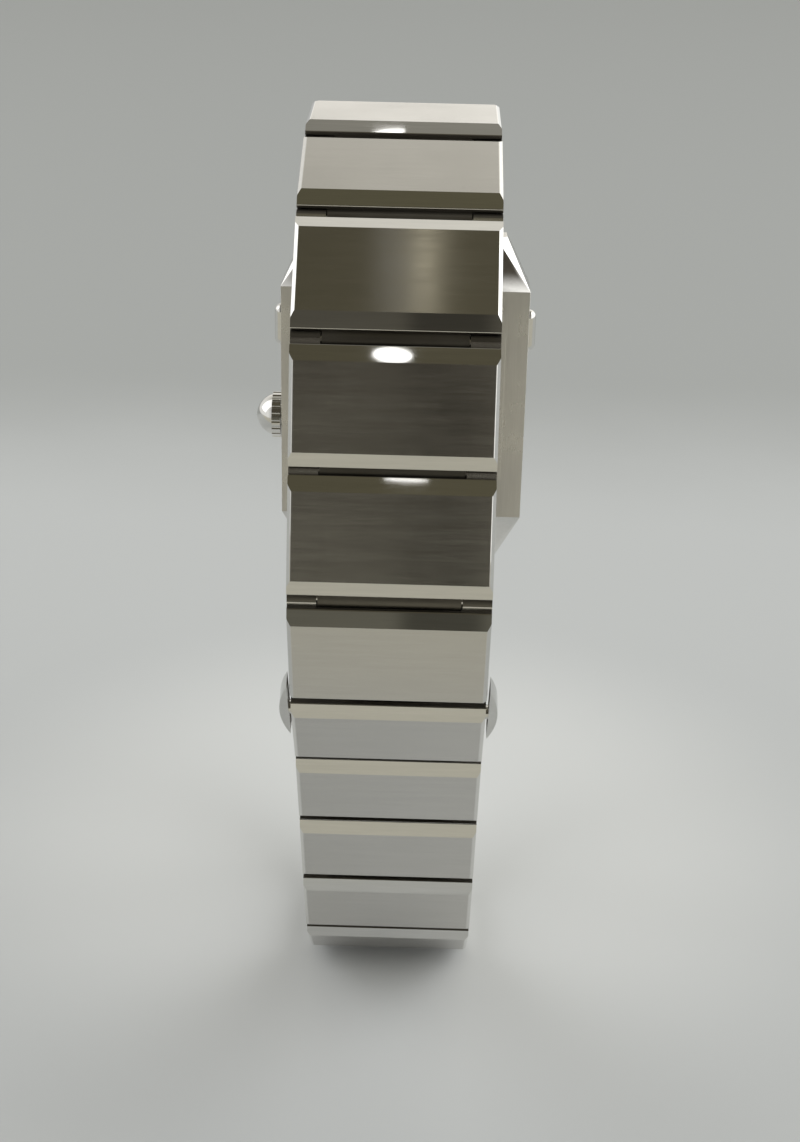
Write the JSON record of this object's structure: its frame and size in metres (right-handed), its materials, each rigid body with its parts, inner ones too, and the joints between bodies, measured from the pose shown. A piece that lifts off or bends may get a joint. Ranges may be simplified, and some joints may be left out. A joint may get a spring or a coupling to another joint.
{
  "type": "quartz wristwatch",
  "caption": "Steel quartz wristwatch, its slab-link bracelet closed in a loop, with a slim flanked case, a crown, hinged links and a hidden folding clasp.",
  "frame": {"origin": "middle of the case back's flat face", "axes": "+X to the crown at three o'clock, +Y out of the case back into the wrist opening, +Z to twelve o'clock"},
  "size_m": [0.0287, 0.0584, 0.0872],
  "materials": {
    "brushed_steel": "brushed across the links, light wear",
    "polished_steel": "polished",
    "crystal": "clear",
    "dial": "satin",
    "hands": "gloss",
    "movement": "satin",
    "battery": "satin",
    "gasket": "matte"
  },
  "bodies": {
    "case": {"case_middle": "brushed_steel", "bezel": "polished_steel", "crystal": "crystal", "dial": "dial", "hour_markers": "polished_steel", "movement": "movement", "battery": "battery", "case_back": "brushed_steel", "back_gasket": "gasket", "back_screws": "polished_steel", "shoulder_bars": "polished_steel", "case_spring_bars": "polished_steel"},
    "upper_1": {"upper_link_1": "brushed_steel"},
    "upper_2": {"upper_link_2": "brushed_steel", "upper_pin_2": "polished_steel"},
    "upper_3": {"upper_link_3": "brushed_steel", "upper_pin_3": "polished_steel"},
    "upper_4": {"upper_link_4": "brushed_steel", "upper_pin_4": "polished_steel"},
    "upper_5": {"upper_link_5": "brushed_steel", "upper_pin_5": "polished_steel"},
    "upper_6": {"upper_link_6": "brushed_steel", "upper_pin_6": "polished_steel"},
    "upper_7": {"upper_link_7": "brushed_steel", "upper_pin_7": "polished_steel"},
    "upper_8": {"upper_link_8": "brushed_steel", "upper_pin_8": "polished_steel"},
    "upper_9": {"upper_link_9": "brushed_steel", "upper_pin_9": "polished_steel", "closing_bar": "polished_steel"},
    "lower_1": {"lower_link_1": "brushed_steel", "lower_pin_1": "polished_steel"},
    "lower_2": {"lower_link_2": "brushed_steel", "lower_pin_2": "polished_steel"},
    "lower_3": {"lower_link_3": "brushed_steel", "lower_pin_3": "polished_steel"},
    "lower_4": {"lower_link_4": "brushed_steel", "lower_pin_4": "polished_steel"},
    "lower_5": {"lower_link_5": "brushed_steel", "lower_pin_5": "polished_steel"},
    "lower_6": {"lower_link_6": "brushed_steel", "lower_pin_6": "polished_steel"},
    "lower_7": {"lower_link_7": "brushed_steel", "lower_pin_7": "polished_steel"},
    "lower_8": {"lower_link_8": "brushed_steel", "lower_pin_8": "polished_steel"},
    "lower_9": {"lower_link_9": "brushed_steel", "lower_pin_9": "polished_steel"},
    "lower_10": {"lower_link_10": "brushed_steel", "cover_pin": "polished_steel"},
    "middle_blade": {"middle_blade": "brushed_steel", "fold_pin": "polished_steel"},
    "bottom_blade": {"bottom_blade": "brushed_steel"},
    "button_left": {"button_left": "polished_steel"},
    "button_right": {"button_right": "polished_steel"},
    "crown_slide": {"setting_lever": "brushed_steel"},
    "crown": {"stem": "polished_steel", "crown": "polished_steel"},
    "minute_hand": {"minute_hand": "hands"},
    "hour_hand": {"hour_hand": "hands"}
  },
  "joints": [
    {"name": "upper_hinge_1", "type": "hinge", "parent": "case", "child": "upper_1", "pos_m": [0, -0.0032, 0.016], "axis": [1, 0, 0], "range_deg": [0, 36.19]},
    {"name": "upper_hinge_2", "type": "hinge", "parent": "upper_1", "child": "upper_2", "pos_m": [0, 0.00121, 0.02497], "axis": [1, 0, 0], "range_deg": [0, 50]},
    {"name": "upper_hinge_3", "type": "hinge", "parent": "upper_2", "child": "upper_3", "pos_m": [0, 0.01036, 0.02901], "axis": [1, 0, 0], "range_deg": [0, 14]},
    {"name": "upper_hinge_4", "type": "hinge", "parent": "upper_3", "child": "upper_4", "pos_m": [0, 0.01977, 0.0324], "axis": [1, 0, 0], "range_deg": [0, 32.5]},
    {"name": "upper_hinge_5", "type": "hinge", "parent": "upper_4", "child": "upper_5", "pos_m": [0, 0.02976, 0.03193], "axis": [1, 0, 0], "range_deg": [0, 30.5]},
    {"name": "upper_hinge_6", "type": "hinge", "parent": "upper_5", "child": "upper_6", "pos_m": [0, 0.03895, 0.02799], "axis": [1, 0, 0], "range_deg": [0, 36.5]},
    {"name": "upper_hinge_7", "type": "hinge", "parent": "upper_6", "child": "upper_7", "pos_m": [0, 0.04542, 0.02037], "axis": [1, 0, 0], "range_deg": [0, 38]},
    {"name": "upper_hinge_8", "type": "hinge", "parent": "upper_7", "child": "upper_8", "pos_m": [0, 0.04755, 0.0106], "axis": [1, 0, 0], "range_deg": [0, 9.5]},
    {"name": "upper_hinge_9", "type": "hinge", "parent": "upper_8", "child": "upper_9", "pos_m": [0, 0.04977, 0.00085], "axis": [1, 0, 0], "range_deg": [0, 42.5]},
    {"name": "lower_hinge_1", "type": "hinge", "parent": "case", "child": "lower_1", "pos_m": [0, -0.0032, -0.016], "axis": [-1, 0, 0], "range_deg": [0, 14.12]},
    {"name": "lower_hinge_2", "type": "hinge", "parent": "lower_1", "child": "lower_2", "pos_m": [0, -0.00248, -0.02597], "axis": [-1, 0, 0], "range_deg": [0, 7.5]},
    {"name": "lower_hinge_3", "type": "hinge", "parent": "lower_2", "child": "lower_3", "pos_m": [0, -0.0022, -0.03597], "axis": [-1, 0, 0], "range_deg": [0, 29]},
    {"name": "lower_hinge_4", "type": "hinge", "parent": "lower_3", "child": "lower_4", "pos_m": [0, 0.00132, -0.04533], "axis": [-1, 0, 0], "range_deg": [0, 44]},
    {"name": "lower_hinge_5", "type": "hinge", "parent": "lower_4", "child": "lower_5", "pos_m": [0, 0.00947, -0.05112], "axis": [-1, 0, 0], "range_deg": [0, 47]},
    {"name": "lower_hinge_6", "type": "hinge", "parent": "lower_5", "child": "lower_6", "pos_m": [0, 0.01947, -0.05084], "axis": [-1, 0, 0], "range_deg": [0, 51]},
    {"name": "lower_hinge_7", "type": "hinge", "parent": "lower_6", "child": "lower_7", "pos_m": [0, 0.02683, -0.04407], "axis": [-1, 0, 0], "range_deg": [0, 28.5]},
    {"name": "lower_hinge_8", "type": "hinge", "parent": "lower_7", "child": "lower_8", "pos_m": [0, 0.03166, -0.03531], "axis": [-1, 0, 0], "range_deg": [0, 13]},
    {"name": "lower_hinge_9", "type": "hinge", "parent": "lower_8", "child": "lower_9", "pos_m": [0, 0.03602, -0.02631], "axis": [-1, 0, 0], "range_deg": [0, 8.5]},
    {"name": "lower_hinge_10", "type": "hinge", "parent": "lower_9", "child": "lower_10", "pos_m": [0, 0.04062, -0.01743], "axis": [-1, 0, 0], "range_deg": [0, 3.5]},
    {"name": "clasp_open", "type": "hinge", "parent": "lower_10", "child": "middle_blade", "pos_m": [0, 0.04378, -0.01004], "axis": [-1, 0, 0], "range_deg": [0, 100]},
    {"name": "clasp_unfold", "type": "hinge", "parent": "middle_blade", "child": "bottom_blade", "pos_m": [0, 0.03452, -0.02249], "axis": [1, 0, 0], "range_deg": [0, 100]},
    {"name": "left_button_press", "type": "slide", "parent": "lower_10", "child": "button_left", "axis": [1, 0, 0], "range_m": [0, 0.0002], "stiffness_N_per_m": 300},
    {"name": "right_button_press", "type": "slide", "parent": "lower_10", "child": "button_right", "axis": [-1, 0, 0], "range_m": [0, 0.0002], "stiffness_N_per_m": 300},
    {"name": "crown_pull", "type": "slide", "parent": "case", "child": "crown_slide", "axis": [1, 0, 0], "range_m": [0, 0.001]},
    {"name": "crown_turn", "type": "hinge", "parent": "crown_slide", "child": "crown", "pos_m": [0.0127, -0.0032, -0.0022], "axis": [1, 0, 0], "continuous": true},
    {"name": "minute_hand_turn", "type": "hinge", "parent": "case", "child": "minute_hand", "pos_m": [0, -0.0042, 0], "axis": [0, 1, 0], "continuous": true},
    {"name": "hour_hand_turn", "type": "hinge", "parent": "case", "child": "hour_hand", "pos_m": [0, -0.0042, 0], "axis": [0, 1, 0], "continuous": true}
  ],
  "couplings": [
    {"joint": "clasp_unfold", "follows": "clasp_open", "ratio": 1},
    {"joint": "hour_hand_turn", "follows": "minute_hand_turn", "ratio": 0.083333}
  ]
}
